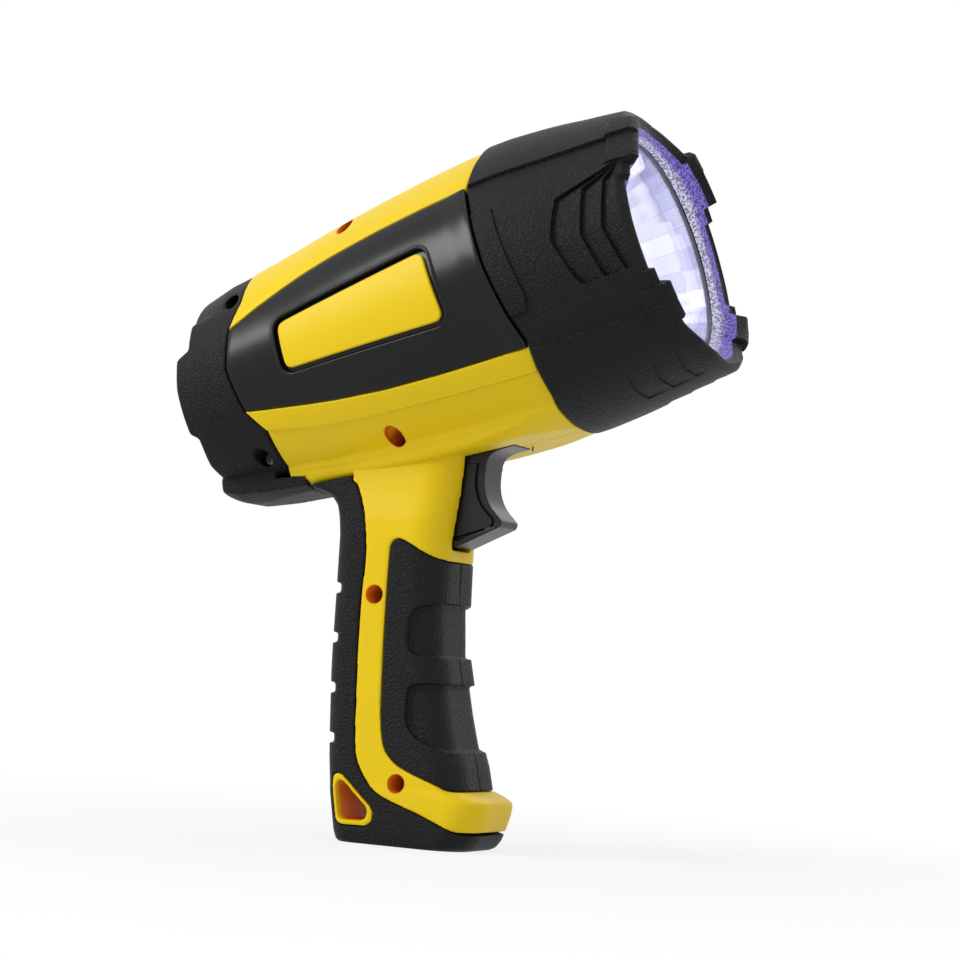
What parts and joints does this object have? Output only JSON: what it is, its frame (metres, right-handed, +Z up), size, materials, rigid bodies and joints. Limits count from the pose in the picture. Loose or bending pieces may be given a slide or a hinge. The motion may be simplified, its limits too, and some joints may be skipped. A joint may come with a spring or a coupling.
{
  "type": "rechargeable pistol-grip spotlight",
  "caption": "Hand-held pistol-grip spotlight with a tapered barrel, rubber bezel guard, clear lens, finger trigger, padded grip with a lanyard eye, and a charging socket under a hinged cover.",
  "frame": {"origin": "on the flat base of the grip's foot, between the casing halves", "axes": "+Z up along the grip, +X forward where the beam points, +Y to the holder's left"},
  "size_m": [0.1806, 0.0984, 0.2435],
  "materials": {
    "casing_yellow": "moulded ABS with a soft sheen",
    "panel_gloss": "polished black plastic",
    "grip_rubber": "black overmould with a fine leather pebble",
    "dark_plastic": "satin dark grey plastic",
    "clear_lens": "clear polished lens",
    "bowl_coating": "bright coated bowl",
    "board_white": "white solder mask on an aluminium core board",
    "emitter": "yellow phosphor under a clear dome",
    "cast_aluminium": "plain cast surface",
    "zinc_steel": "zinc plated",
    "cell_wrap": "blue wrap over a cell that is as dense as aluminium on the whole",
    "board_green": "green circuit board",
    "red_lens": "red indicator",
    "wire_cover": "wire insulation"
  },
  "bodies": {
    "casing": {"badge_left": "casing_yellow", "badge_right": "casing_yellow", "barrel_screw_lower": "zinc_steel", "barrel_screw_upper": "zinc_steel", "battery_cell_1": "cell_wrap", "battery_cell_2": "cell_wrap", "battery_cell_3": "cell_wrap", "battery_cradle": "dark_plastic", "battery_lead": "wire_cover", "bezel_guard": "grip_rubber", "cap_screw_lower": "zinc_steel", "cap_screw_upper": "zinc_steel", "charge_indicator": "red_lens", "charge_socket": "dark_plastic", "control_board": "board_green", "grip_back": "grip_rubber", "grip_front": "grip_rubber", "handle_screw_lower": "zinc_steel", "handle_screw_upper": "zinc_steel", "heat_sink": "cast_aluminium", "housing_left": "casing_yellow", "housing_right": "casing_yellow", "lamp_lead": "wire_cover", "led_board": "board_white", "led_emitter": "emitter", "lens": "clear_lens", "lens_gasket": "grip_rubber", "micro_switch": "dark_plastic", "rear_cap": "grip_rubber", "reflector": "bowl_coating", "side_panel_left": "panel_gloss", "side_panel_right": "panel_gloss", "switch_lead": "wire_cover", "trigger_pin": "zinc_steel"},
    "trigger": {"trigger": "dark_plastic", "trigger_spring": "zinc_steel"},
    "switch_lever": {"switch_lever": "zinc_steel"},
    "socket_cover": {"socket_cover": "grip_rubber"}
  },
  "joints": [
    {"name": "trigger_pull", "type": "hinge", "parent": "casing", "child": "trigger", "pos_m": [0.027, 0, 0.1375], "axis": [0, 1, 0], "range_deg": [0, 7.5], "stiffness_Nm_per_rad": 0.5, "springref_deg": -9.74},
    {"name": "lever_swing", "type": "hinge", "parent": "casing", "child": "switch_lever", "pos_m": [0.0015, 0, 0.10895], "axis": [0, 1, 0], "range_deg": [-12.3, 0]},
    {"name": "cover_flip", "type": "hinge", "parent": "casing", "child": "socket_cover", "pos_m": [-0.07978, 0, 0.15336], "axis": [0, 1, 0], "range_deg": [0, 105]}
  ],
  "couplings": [
    {"joint": "lever_swing", "follows": "trigger_pull", "ratio": -1.63}
  ]
}
